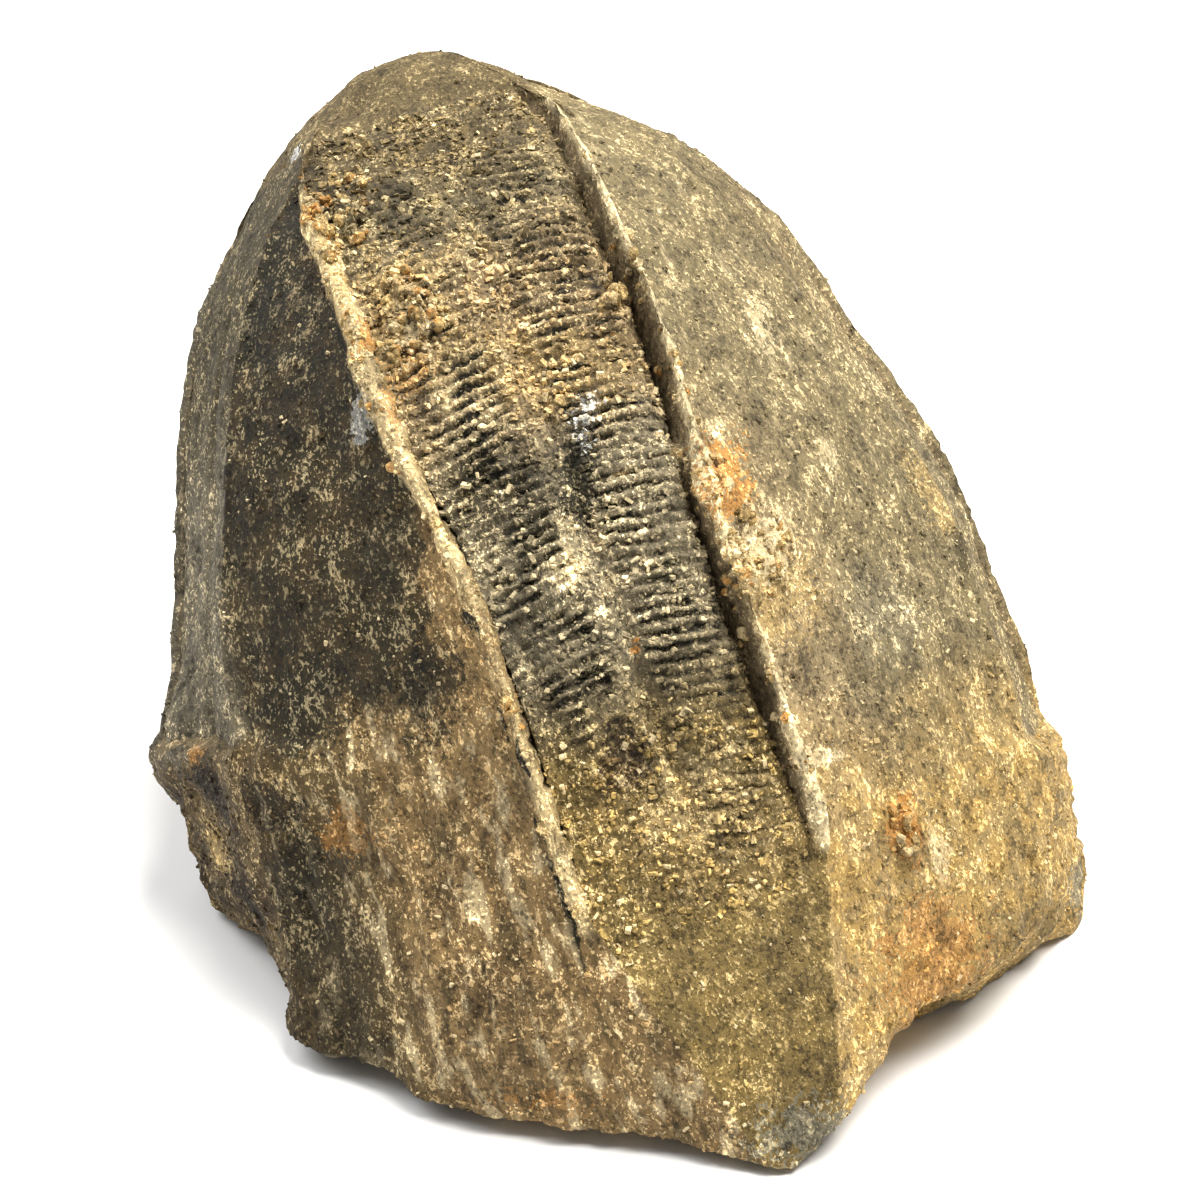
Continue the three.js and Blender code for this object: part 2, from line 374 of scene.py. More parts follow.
def facing(azimuth, elevation):
    """Unit vector facing an azimuth and elevation in degrees; azimuth 0 faces the front, -Y."""
    a, e = math.radians(azimuth), math.radians(elevation)
    return Vector((math.sin(a) * math.cos(e), -math.cos(a) * math.cos(e), math.sin(e)))


def place_on_theca_group():
    """Takes a point of the plain bud to its place on the broken, leaning theca."""
    tree = Tree.group("place on theca")
    point = tree.input("Point", kind="NodeSocketVector")
    relief = tree.input("Relief")
    rock = tree.input("Rock")
    foot = tree.input("Foot")

    leaning = point
    for kind, angle in (("Z_AXIS", TURN), ("Y_AXIS", -LEAN_LEFT), ("X_AXIS", -LEAN_BACK)):
        inputs = {"Vector": leaning, "Angle": math.radians(angle)}
        leaning = tree.node("ShaderNodeVectorRotate", inputs, rotation_type=kind)
    direction = calc("NORMALIZE", leaning)
    radius = calc("LENGTH", leaning)
    for azimuth, elevation, distance, rounding in BREAKS:
        towards = calc("DOT_PRODUCT", direction, facing(azimuth, elevation))
        radius = smooth_min(radius, distance / calc("MAXIMUM", towards, GRAZING), rounding)
    for azimuth, elevation, spread, height in SWELLINGS:
        off = calc("DISTANCE", direction, facing(azimuth, elevation))
        radius = radius + height * hump(off, math.radians(spread))

    x, y, _ = parts_of(point)
    azimuth = calc("ARCTAN2", x, -y)
    off_bare = abs(azimuth - math.radians(BARE_AZIMUTH))
    rock_share = smoothstep(math.radians(ROCK_BEGINS), math.radians(ROCK_IS_FULL), off_bare)
    _, place_y, place_z = parts_of(direction * radius + RING_CENTRE)
    ledge = LEDGE_HEIGHT - LEDGE_SLOPE * (place_y - RING_CENTRE.y)
    below_ledge = ledge - place_z
    radius = radius + relief + rock
    _, _, upward = parts_of(direction)
    to_foot = (RING_CENTRE.z - foot) / calc("MAXIMUM", -upward, 0.001)
    radius = calc("MINIMUM", radius, to_foot)
    return tree.give(Place=direction * radius + RING_CENTRE, Rock_share=rock_share,
                     Below_ledge=below_ledge)


BUD_RING = bud_ring_group()
BUD_POINT = bud_point_group()
PLACE_ON_THECA = place_on_theca_group()


# ---- pieces made by geometry nodes -------------------------------------------------------------

def unit_grid(tree, columns, rows):
    """A grid, and how far each of its points is along the columns and down the rows, 0 to 1."""
    sizes = {"Size X": 1.0, "Size Y": 1.0, "Vertices X": columns, "Vertices Y": rows}
    grid = tree.node("GeometryNodeMeshGrid", sizes)
    x, y, _ = parts_of(tree.node("GeometryNodeInputPosition"))
    return grid, x + 0.5, 0.5 - y


def store(mesh, **values):
    """Keeps numbers or vectors at every point of the mesh, for later steps and its material."""
    for name, value in values.items():
        kind = "FLOAT_VECTOR" if value.is_vector else "FLOAT"
        inputs = {"Geometry": mesh, "Name": name, "Value": value}
        mesh = mesh.tree.node("GeometryNodeStoreNamedAttribute", inputs, data_type=kind,
                              domain="POINT")
    return mesh


def stored(tree, name):
    """A number that store kept at every point."""
    return tree.node("GeometryNodeInputNamedAttribute", {"Name": name})


def moved(mesh, position=None, offset=None):
    inputs = {"Geometry": mesh, "Position": position, "Offset": offset}
    return mesh.tree.node("GeometryNodeSetPosition", inputs)


def closed(mesh):
    """The mesh with its seam and poles closed."""
    inputs = {"Geometry": mesh, "Distance": SEAM * MM}
    return mesh.tree.node("GeometryNodeMergeByDistance", inputs)


def weathered(mesh, height_in_mm):
    """The mesh moved along its normals by a height that depends on the place in millimetres."""
    tree = mesh.tree
    place = tree.node("GeometryNodeInputPosition") * (1 / MM)
    _, _, up = parts_of(place)
    height = height_in_mm(place) * ramp(up, *FOOT_FADE)
    return moved(mesh, offset=tree.node("GeometryNodeInputNormal") * (height * MM))


def worn_surface(place):
    """Swells, lumps and pits of the worn stone, the same in every piece so that they meet."""
    swells = bumps(place, 5.0, 0.3, 2.0)
    lumps = bumps(place, 1.3, 0.13)
    pits = bumps(place, 0.4, 0.06, 2.0)
    return swells + lumps + pits


# Crusted places: centre and reach in millimetres.
CRUSTS = (
    ((-8.4, 0.2, 22.2), (1.4, 3.0, 1.5)),   # top of the left rim
    ((-6.5, -3.3, 20.3), (1.6, 2.4, 1.9)),
    ((2.4, -7.0, 17.0), (0.7, 1.2, 1.2)),   # right rim, where the crevice is bridged
    ((3.8, -7.8, 15.2), (1.5, 1.6, 1.9)),
    ((-0.2, -3.0, 21.0), (0.5, 1.6, 1.2)),  # crevice, upper part
    ((8.1, -10.2, 7.2), (0.5, 0.7, 1.2)),   # rusty spot low on the right
)


def crusted(place):
    """1 inside the crusted places, which are ragged, and 0 outside them."""
    share = None
    for centre, reach in CRUSTS:
        off = calc("LENGTH", calc("DIVIDE", place - centre, reach))
        here = smoothstep(1.1, 0.5, off)
        share = here if share is None else calc("MAXIMUM", share, here)
    return share * smoothstep(0.42, 0.58, noise(place, 0.7))


def crust_thickness(place):
    """How far the crust stands out of the stone, 0 where there is none."""
    return crusted(place) * blend(0.1, 0.45, noise(place, 0.35))


def finished(mesh, material, smooth=True):
    """Shading, real geometry instead of instances, and the material."""
    tree = mesh.tree
    shading = {"Geometry": mesh, "Shade Smooth": smooth}
    shaded = tree.node("GeometryNodeSetShadeSmooth", shading)
    real = tree.node("GeometryNodeRealizeInstances", {"Geometry": shaded})
    made = tree.node("GeometryNodeSetMaterial", {"Geometry": real, "Material": material})
    return tree.give(Geometry=made)


def new_object(name, data):
    """An object in the scene, at the origin."""
    made = bpy.data.objects.new(name, data)
    bpy.context.scene.collection.objects.link(made)
    return made


def grown(name, tree, **settings):
    """Evaluates a geometry tree with these inputs and returns the plain mesh object it makes."""
    piece = new_object(name, bpy.data.meshes.new(name))
    modifier = piece.modifiers.new("grow", "NODES")
    modifier.node_group = tree
    identifiers = {item.name: item.identifier for item in tree.interface.items_tree
                   if item.in_out == "INPUT"}
    for setting, value in settings.items():
        modifier[identifiers[setting.replace("_", " ")]] = value
    depsgraph = bpy.context.evaluated_depsgraph_get()
    mesh = bpy.data.meshes.new_from_object(piece.evaluated_get(depsgraph),
                                           preserve_all_data_layers=True, depsgraph=depsgraph)
    piece.modifiers.remove(modifier)
    piece.data = mesh
    mesh.name = name
    return piece


def petal_fade(height, top=RELIEF_TOP):
    """1 along a petal, falling to 0 at its two ends."""
    return (smoothstep(PETAL_END - RELIEF_END_FADE, PETAL_END + RELIEF_END_FADE, height)
            * smoothstep(top + RELIEF_TOP_FADE, top, height))


def bridge(height):
    """1 where crust bridges the crevice, 0 above and below."""
    return hump(height - BRIDGE_HEIGHT, BRIDGE_SPREAD)


def theca_body_tree(material):
    """The bud with raised rims and an empty channel for each petal, and rock below a ledge."""
    tree = Tree.group("theca body")
    rows = tree.input("Rows", 236, "NodeSocketInt")
    columns = tree.input("Columns", 418, "NodeSocketInt")
    crowding = tree.input("Crowding to the front", 0.42)
    rim_height = tree.input("Rim height", 0.36)
    rim_spread = tree.input("Rim spread", 0.3)
    channel_depth = tree.input("Channel depth", 1.3)
    rock_thickness = tree.input("Rock thickness", ROCK_THICKNESS)
    grid, along, down = unit_grid(tree, columns + 1, rows + 1)

    # Rows: close over the petals, wide over the hidden foot.
    widest, toe = 0.62, 0.95
    way = ramp(down, 0, widest) + ramp(down, widest, toe) + ramp(down, toe, 1)
    height = tree.use(BUD_RING, Way_down=way)["Height"]

    # Columns: close at the front, few in the channels, many at the rims, even over the faces.
    # Each step: the shares of half a sector between which across grows, and by how much.
    steps = ((0, 0.1, 0.8), (0.1, 0.28, 0.2), (0.28, 0.42, 0.12), (0.42, 1, 0.88))
    turn = along - 0.5
    crowded = turn - crowding * calc("SINE", turn * FULL_TURN) / FULL_TURN
    sectors = calc("FRACT", crowded + 0.5 / PETAL_COUNT) * PETAL_COUNT
    sector = calc("FLOOR", sectors)
    across_sector = (sectors - sector) * 2 - 1
    share = abs(across_sector)
    across = sum(ramp(share, start, end) * growth for start, end, growth in steps)
    side = calc("SIGN", across_sector)
    bud = tree.use(BUD_POINT, Height=height, Petal=sector, Across=across * side)
    point = bud["Point"]

    # The rims: low and wide on the left of a petal, sharp on its right, crumbled, worn off behind.
    x, y, _ = parts_of(point)
    azimuth = abs(azimuth_of(x, y))
    front = smoothstep(38.0, 30.0, azimuth)
    right = ramp(side, -1, 1)
    crumbled = bumps(point, 1.6, 0.2) + bumps(point, 0.5, 0.2, 4.0, 0.7)
    from_crest = bud["From_rim"] + crumbled + blend(0.3, 0.0, right)
    crest = rim_height * blend(0.35, blend(0.9, 1.0, right), front)
    crest = crest * blend(0.3, 1.5, noise(point, 0.9))
    off_crest = calc("MAXIMUM", from_crest, from_crest * -1.3) / blend(0.9, 0.8, right)
    crest_shape = hump(off_crest, rim_spread)
    bridged = front * right * bridge(height)

    # The channels: steep at the rims, shallow at both ends of a petal.
    wall = smoothstep(0.02, 0.22, bud["From_rim"] + crumbled * right)
    shallow = 0.45
    channel = channel_depth * wall * (1 - bridged * 0.85)
    channel = channel * blend(shallow, 1.0, smoothstep(17.0, 12.0, height))
    channel = channel * blend(shallow, 1.0, smoothstep(*CREVICE_SHALLOW, height))

    # The rock: thick towards the back, under a ragged ledge.
    bare = tree.use(PLACE_ON_THECA, Point=point, Relief=0.0, Rock=0.0, Foot=-3.0)
    ragged = bumps(bare["Place"], 3.0, 1.3, 4.0, 0.6)
    cover = bare["Rock_share"] * smoothstep(-0.6, 0.6, bare["Below_ledge"] + ragged)
    on_petals = petal_fade(height) * (1 - cover)
    ridges = centred(noise(vector_of(azimuth * 0.22, height * 0.3, side), 1.0))
    ridged = smoothstep(0.0, -1.0, bud["From_rim"]) * smoothstep(4.0, 0.0, height)
    relief = on_petals * (crest * crest_shape - channel) + ridges * ridged * 0.35
    uneven = blend(0.7, 1.3, noise(bare["Place"], 2.4, 4.0, 0.6))
    placed = tree.use(PLACE_ON_THECA, Point=point, Relief=relief,
                      Rock=rock_thickness * cover * uneven, Foot=0.0)

    mesh = store(grid, bud=point, rock=cover, inside=bud["From_rim"],
                 rim=on_petals * front * crest_shape, channel=on_petals * channel)
    mesh = closed(moved(mesh, placed["Place"] * MM))

    def surface(place):
        broken = bumps(place, 1.7, 0.55, 4.0, 0.7) - cells(place, 1.0) * 0.3
        depth = stored(tree, "channel")
        on_wall = smoothstep(0.0, 0.2, depth) * smoothstep(1.25, 0.9, depth)
        crumbling = bumps(place, 0.5, 0.4, 4.0, 0.7) * on_wall
        return (worn_surface(place) + broken * stored(tree, "rock") + crumbling
                + crust_thickness(place))

    return finished(weathered(mesh, surface), material)


def petal_tree(material):
    """One petal: two lobes, a groove down the middle, a smooth strip and rows of side plates."""
    tree = Tree.group("petal")
    petal = tree.input("Petal", 0.0)
    rows = tree.input("Rows", 470, "NodeSocketInt")
    columns = tree.input("Columns", 150, "NodeSocketInt")
    pitch = tree.input("Plate pitch", PLATE_PITCH)
    plate_height = tree.input("Plate height", PLATE_HEIGHT)
    lobe_height = tree.input("Lobe height", 0.15)
    groove_depth = tree.input("Groove depth", 0.16)
    strip_height = tree.input("Strip height", 0.07)
    sunk_by = tree.input("Sunk by", 0.22)
    thickness = tree.input("Thickness", 1.3)
    seed = tree.input("Seed", 0.0)
    grid, along, down = unit_grid(tree, columns + 1, rows + 1)

    # Rows: from under the summit to under the lower end, both ends drawn to a point inside.
    widest = 0.76
    way = blend(0.3, 1.0, ramp(down, 0, widest)) + ramp(down, widest, 1) * 0.5
    ring = tree.use(BUD_RING, Way_down=way)
    height = ring["Height"]
    end_row = 0.0005
    inside = calc("GREATER_THAN", down, end_row) * calc("LESS_THAN", down, 1 - end_row)

    # Columns: over the top from left to right, then back underneath.
    topside = 0.88
    under = ramp(along, topside, 1)
    station = (ramp(along, 0, topside) - under) * 2 - 1
    open_crevice = smoothstep(*CREVICE_OPEN, height)
    gap = blend(0.0, blend(0.06, 0.12, open_crevice), ramp(station, -1, 1))
    reach = (1 - gap / PETAL_HALF_WIDTH) * inside
    bud = tree.use(BUD_POINT, Height=height, Petal=petal, Across=station * reach)
    point = bud["Point"]
    u = bud["U"] / bud["Half_width"] * PETAL_HALF_WIDTH
    off_middle = abs(u)

    # The plate's own shape across: u is in millimetres to the right of its middle.
    lobes = lobe_height * calc("SINE", ramp(off_middle, 0.1, PETAL_HALF_WIDTH) * math.pi)
    groove = groove_depth * hump(u - 0.12, 0.22)
    strip = strip_height * hump(u + 0.5, 0.4)
    is_front = calc("LESS_THAN", petal, 0.5)
    crevice = blend(0.15, 0.65, open_crevice) * smoothstep(2.6, PETAL_HALF_WIDTH, u)
    crevice = crevice * (1 - is_front * bridge(height))
    crevice = crevice * blend(0.3, 1.0, smoothstep(*CREVICE_SHALLOW, height))
    beside_left_rim = 0.08 * hump(u + 2.9, 0.3)
    shape = lobes - groove + strip - crevice - beside_left_rim

    # Side plates: rows that climb to the middle from both sides, uneven and worn.
    shift = vector_of(seed, seed * 0.7, 0)
    own_place = point + shift
    wobble = bumps(own_place, 2.0, 0.5) + bumps(own_place, 0.5, 0.2)
    climb = off_middle * math.tan(math.radians(PLATES_CLIMB))
    phase = (ring["Arc"] - climb) / pitch + wobble
    ribs = (calc("COSINE", phase * FULL_TURN) * 0.5 + 0.5) ** 0.7
    on_plates = smoothstep(0.25, 0.6, calc("MAXIMUM", u, u * -0.55))
    fade_out = 1 - 0.5 * ramp(off_middle, 2.0, 3.2)
    worn = smoothstep(0.38, 0.58, noise(own_place, 1.3, 4.0))
    right = ramp(u, -0.5, 0.5)
    number = calc("FLOOR", phase + 0.5) + calc("SIGN", u) * 400
    uneven = tree.node("ShaderNodeTexWhiteNoise", {"W": number}, noise_dimensions="1D") - 0.5
    strength = on_plates * fade_out * petal_fade(height, PLATES_TOP) * blend(0.4, 1.2, worn)
    strength = strength * blend(1.15, 1.0, right)
    strength = strength * blend(blend(0.25, 0.6, right), 1.0, smoothstep(-3.0, 1.5, height))
    threads = bumps(vector_of(u * 0.9, phase * 2.6, seed), 1.0, 0.13, 2.0)
    beads = bumps(own_place, 0.25, 0.1, 2.0)
    plates = strength * (plate_height * (ribs - 0.6) + uneven * 0.06 * ribs + threads + beads)

    # Level with the bud at both ends, sunken along its length.
    along_petal = smoothstep(PETAL_END - 0.6, PETAL_END + 3, height) * smoothstep(17.5, 13, height)
    turned_under = 0.12
    depth = ramp(under, 0, turned_under) * ramp(under, 1, 1 - turned_under)
    right_edge = 0.8 * ramp(station, 0, 1) ** 16
    top = -0.03 + along_petal * (shape - sunk_by) + plates
    relief = blend(top - right_edge, -thickness, depth)
    placed = tree.use(PLACE_ON_THECA, Point=point, Relief=blend(-2.0, relief, inside), Rock=0.0,
                      Foot=0.1)

    mesh = store(grid, bud=point, across=u, plate=ribs, channel=under,
                 plate_share=strength * plate_height / PLATE_HEIGHT)
    mesh = closed(moved(mesh, placed["Place"] * MM))

    def surface(place):
        return worn_surface(place) + bumps(place, 0.2, 0.04, 2.0) + crust_thickness(place)

    return finished(weathered(mesh, surface), material)


RADIUS_SEED, STRETCH_SEED, TURN_SEED, TONE_SEED = 11, 12, 13, 14
FEW_ARE_LARGE = 2.5       # power of the draw that sets a grain's radius
GRAIN_STRETCH = (0.5, 1.3)
UNEVEN_CLOUDS = 6.0       # how many clouds of unevenness to a millimetre


def random_share(tree, seed):
    """A random number from 0 to 1 for each point or instance."""
    inputs = {2: 0.0, 3: 1.0, "Seed": seed}
    return tree.node("FunctionNodeRandomValue", inputs, output=1, data_type="FLOAT")


def random_vector(tree, low, high, seed):
    """A random vector for each point, each of its parts between low and high."""
    inputs = {0: (low,) * 3, 1: (high,) * 3, "Seed": seed}
    return tree.node("FunctionNodeRandomValue", inputs, output=0, data_type="FLOAT_VECTOR")


def chip(tree):
    """An angular chip of stone, about 2 mm long until it is scaled."""
    return tree.node("GeometryNodeMeshCube", {"Size": (1.0 * MM, 1.5 * MM, 2.2 * MM)})


def lump(tree):
    """A round lump, 2 mm across until it is scaled."""
    return tree.node("GeometryNodeMeshIcoSphere", {"Radius": MM, "Subdivisions": 2})


def grains_tree(material, name, grain, closeness):
    """Grains half sunk in the ground they grow on, as close as closeness(place) says."""
    tree = Tree.group(name)
    ground = tree.input("Ground", kind="NodeSocketObject")
    per_square_mm = tree.input("Grains per square mm", 5.0)
    smallest = tree.input("Smallest radius", 0.05)
    largest = tree.input("Largest radius", 0.12)
    unevenness = tree.input("Unevenness", 0.0)
    seed = tree.input("Seed", 1, "NodeSocketInt")

    surface = tree.node("GeometryNodeObjectInfo", {"Object": ground}, "Geometry")
    place = tree.node("GeometryNodeInputPosition") * (1 / MM)
    _, _, up = parts_of(place)
    shown = smoothstep(0.9, 0.5, stored(tree, "channel")) * smoothstep(0.2, 0.5, up)
    density = closeness(place) * shown * per_square_mm * (1 / MM ** 2)
    inputs = {"Mesh": surface, "Density": density, "Seed": seed}
    points = tree.node("GeometryNodeDistributePointsOnFaces", inputs, "Points")

    radius = blend(smallest, largest, random_share(tree, RADIUS_SEED) ** FEW_ARE_LARGE)
    stretch = random_vector(tree, *GRAIN_STRETCH, STRETCH_SEED)
    turned = random_vector(tree, 0.0, FULL_TURN, TURN_SEED)
    inputs = {"Points": points, "Instance": grain(tree), "Rotation": turned,
              "Scale": stretch * radius}
    grains = tree.node("GeometryNodeInstanceOnPoints", inputs)
    inputs = {"Geometry": grains, "Name": "tone", "Value": random_share(tree, TONE_SEED)}
    toned = tree.node("GeometryNodeStoreNamedAttribute", inputs, data_type="FLOAT",
                      domain="INSTANCE")
    real = tree.node("GeometryNodeRealizeInstances", {"Geometry": toned})
    clouds = tree.node("ShaderNodeTexNoise", {"Vector": place, "Scale": UNEVEN_CLOUDS}, "Color")
    rough = moved(real, offset=(clouds - (0.5,) * 3) * (unevenness * MM))
    return finished(rough, material, smooth=False)


def clustered(place, size, fewest, most):
    """Closeness of grains that lie in clusters about this size, from fewest to most."""
    return blend(fewest, most, smoothstep(0.4, 0.6, noise(place, size)))


def theca_closeness(place):
    """Grains lie in clusters, mostly on the front, and close together along the rims."""
    _, backward, _ = parts_of(place)
    clusters = clustered(place, 1.1, 0.2, 1.8) * smoothstep(0.3, 0.1, stored(place.tree, "channel"))
    on_front = blend(1.0, 0.2, smoothstep(-3.0, 4.0, backward))
    return clusters * on_front * (1 + stored(place.tree, "rim") * 2)


def petal_closeness(place):
    """Chips lie in clusters, and closest along the petal's middle."""
    return clustered(place, 0.8, 0.3, 1.7) * (1 + hump(stored(place.tree, "across"), 0.8))


def crust_closeness(place):
    """Crust covers the crusted places, and sits here and there on the rim beside the crevice."""
    x, _, _ = parts_of(place)
    on_rim = stored(place.tree, "rim") * blend(0.2, 0.3, smoothstep(-2.0, 0.0, x))
    on_rim = on_rim * smoothstep(0.45, 0.6, noise(place, 0.7))
    return calc("MAXIMUM", crusted(place), on_rim)


# ---- materials ---------------------------------------------------------------------------------

GRAIN_SIZE, COARSE_GRAIN_SIZE = 0.095, 0.2    # of the flecks, in millimetres
GRAIN_RISE = 0.08         # how far the flecks seem to stand out, in millimetres
STREAK_STRETCH = 1.35     # of the flecks, along the bud's axis
STONE_SPECULAR = 0.25
FLOOR_GREY, FLOOR_ROUGHNESS = 0.8, 0.9


def shader_group(name):
    return Tree.group(name, "ShaderNodeTree")


def colour_mix(tree, share, first, second, **settings):
    """One Mix node on colours, which are flows or plain red, green and blue."""
    share_socket, first_socket, second_socket, result = 0, 6, 7, 2
    node = tree.add("ShaderNodeMix", data_type="RGBA", **settings)
    for socket, value in ((share_socket, share), (first_socket, first), (second_socket, second)):
        tree.feed(node.inputs[socket], (*value, 1) if isinstance(value, tuple) else value)
    return Flow(tree, node.outputs[result])


def mixed(first, second, share):
    """The first colour where share is 0, the second where it is 1."""
    return colour_mix(share.tree, share, first, second)


def layered(colour, *layers):
    """Lays colours over the first one in turn, each with its own share."""
    for over, share in layers:
        colour = mixed(colour, over, share)
    return colour


def multiplied(colour, gain):
    """The colour made lighter or darker."""
    return colour_mix(colour.tree, 1, colour, gain, blend_type="MULTIPLY")


def attribute(tree, name, output="Fac"):
    return tree.node("ShaderNodeAttribute", output=output, attribute_name=name)


def place_in_mm(tree):
    return tree.node("ShaderNodeTexCoord", output="Object") * (1 / MM)


def grain_group():
    """Light and dark flecks, and the bumps they make."""
    tree = shader_group("stone grain")
    place = tree.input("Place", kind="NodeSocketVector")
    size = tree.input("Size", GRAIN_SIZE)
    bunching = tree.input("Bunching", 0.0)
    elsewhere = place + (31.0, 7.0, 13.0)
    light_noise = noise(place, size, 2.0, 0.6)
    dark_noise = noise(elsewhere, size * 1.2, 2.0, 0.6)
    light = smoothstep(0.6, 0.66, light_noise + bunching)
    dark = smoothstep(0.44, 0.37, dark_noise + bunching)
    return tree.give(Light=light, Dark=dark, Height=light_noise + dark_noise)


def stone_group():
    """Stone of one colour, mottled, with light and dark flecks and a rough surface."""
    tree = shader_group("grainy stone")
    place = tree.input("Place", kind="NodeSocketVector")
    colour = tree.input("Colour", (0.3, 0.25, 0.15, 1), "NodeSocketColor")
    flecks = tree.input("Flecks", 1.0)
    mottling = tree.input("Mottling", 0.9)
    blotches = noise(place + (9.0, 2.0, 4.0), 0.75, 4.0, 0.78)
    bunching = centred(blotches) * 0.16
    fine = tree.use(GRAIN, Place=place, Bunching=bunching)
    coarse = tree.use(GRAIN, Place=place + (5.0, 5.0, 5.0), Size=COARSE_GRAIN_SIZE,
                      Bunching=bunching)
    mottle = centred(noise(place, 2.2, 5.0, 0.72))
    bunches = blend(0.5, 1.6, smoothstep(-0.15, 0.15, mottle))
    light = calc("MAXIMUM", fine["Light"], coarse["Light"] * 0.7) * flecks * bunches
    dark = calc("MAXIMUM", fine["Dark"] * 0.6, coarse["Dark"] * 0.4) * (1.3 - bunches * 0.3)
    pale = smoothstep(0.57, 0.66, blotches)
    dim = smoothstep(0.44, 0.34, blotches)
    # Short curved strokes: lines of equal noise, broken up.
    line = smoothstep(0.13, 0.04, abs(centred(noise(place + (3.0, 8.0, 1.0), 0.26, 1.0))))
    strokes = line * smoothstep(0.54, 0.64, blotches + fine["Light"] * 0.08) * flecks * bunches
    gain = (1 + light * 1.2) * (1 - dark * 0.85) * (1 + mottle * mottling)
    gain = gain * (1 + pale * 0.3 + strokes) * (1 - dim * 0.4)
    toned = multiplied(colour, calc("MAXIMUM", gain, 0.1))
    cream = light * 0.19 + pale * 0.03 + strokes * 0.24
    speckled = mixed(toned, CREAM, calc("MINIMUM", cream, 0.5))
    height = fine["Height"] * 0.5 + coarse["Height"] * 0.5 + strokes * 0.3
    return tree.give(Colour=speckled, Roughness=blend(0.7, 0.95, mottle + 0.5), Height=height)


def stain_group():
    """1 inside an egg-shaped patch, breaking up into flecks at its edge, 0 outside."""
    tree = shader_group("stain")
    place = tree.input("Place", kind="NodeSocketVector")
    centre = tree.input("Centre", kind="NodeSocketVector")
    reach = tree.input("Reach", kind="NodeSocketVector")
    strength = tree.input("Strength", 1.0)
    ragged = tree.input("Ragged", 0.0)
    off = calc("LENGTH", calc("DIVIDE", place - centre, reach))
    return tree.give(Mask=smoothstep(0.88, 0.7, off + ragged) * strength)


# Colours of the stone, and of what stains it.
OLIVE_GREY = (0.172, 0.134, 0.067)
COOL_GREY = (0.13, 0.106, 0.056)
DARK_GREY = (0.026, 0.02, 0.0085)
BLACK_GREY = (0.016, 0.0135, 0.0065)
SLATE = (0.17, 0.15, 0.098)
ASH = (0.26, 0.215, 0.13)
TAN = (0.23, 0.15, 0.062)
PINK_TAN = (0.27, 0.2, 0.104)
ORANGE_TAN = (0.33, 0.215, 0.07)
BROWN = (0.1, 0.057, 0.02)
BLACK_BROWN = (0.016, 0.011, 0.005)
DARK_BROWN = (0.035, 0.02, 0.007)
ORANGE = (0.4, 0.185, 0.04)
OLIVE = (0.175, 0.12, 0.038)
OLIVE_BROWN = (0.08, 0.056, 0.022)
# Dark brown of the crevices: partly the brown that fills them, partly painted shade of the recess.
CREVICE_FILL_AND_SHADE = (0.15, 0.11, 0.056)
YELLOW_TAN = (0.33, 0.23, 0.092)
SMOOTH_GREY = (0.11, 0.095, 0.065)
CREAM = (0.64, 0.52, 0.3)
WHITE = (0.7, 0.7, 0.66)

GRAIN = grain_group()
STONE = stone_group()
STAIN = stain_group()


def stained(colour, place, stains):
    """The colour with each stain laid over it in turn, all broken up into flecks."""
    clouds = bumps(place, 0.9, 1.2, 3.0, 0.75)
    flecks = bumps(place, 0.15, 1.2, 2.0, 0.6)
    for stain_colour, strength, centre, reach in stains:
        stain = place.tree.use(STAIN, Place=place, Centre=centre, Reach=reach,
                               Strength=strength, Ragged=clouds + flecks)
        colour = mixed(colour, stain_colour, stain["Mask"])
    return colour


def new_material(name):
    """A material and its own shader."""
    material = bpy.data.materials.new(name)
    material.use_nodes = True
    return material, material.node_tree.nodes["Principled BSDF"]


def stone_material(name, paint):
    """A rough stone streaked along the bud's axis; paint gives its colour and its flecks."""
    material, shader = new_material(name)
    tree = Tree(material.node_tree)
    place = place_in_mm(tree)
    lean = (Matrix.Rotation(math.radians(-LEAN_BACK), 3, "X")
            @ Matrix.Rotation(math.radians(-LEAN_LEFT), 3, "Y"))
    stretch = Vector((1, 1, STREAK_STRETCH))
    inputs = {"Vector": place, "Rotation": Vector(lean.to_euler()), "Scale": stretch}
    streaked = tree.node("ShaderNodeMapping", inputs, vector_type="TEXTURE")
    colour, flecks = paint(tree, place)
    stone = tree.use(STONE, Place=streaked, Colour=colour, Flecks=flecks)
    bump = {"Height": stone["Height"], "Strength": 1.0, "Distance": GRAIN_RISE * MM}
    tree.feed(shader.inputs["Base Color"], stone["Colour"])
    tree.feed(shader.inputs["Roughness"], stone["Roughness"])
    tree.feed(shader.inputs["Normal"], tree.node("ShaderNodeBump", bump))
    shader.inputs["Specular IOR Level"].default_value = STONE_SPECULAR
    return material


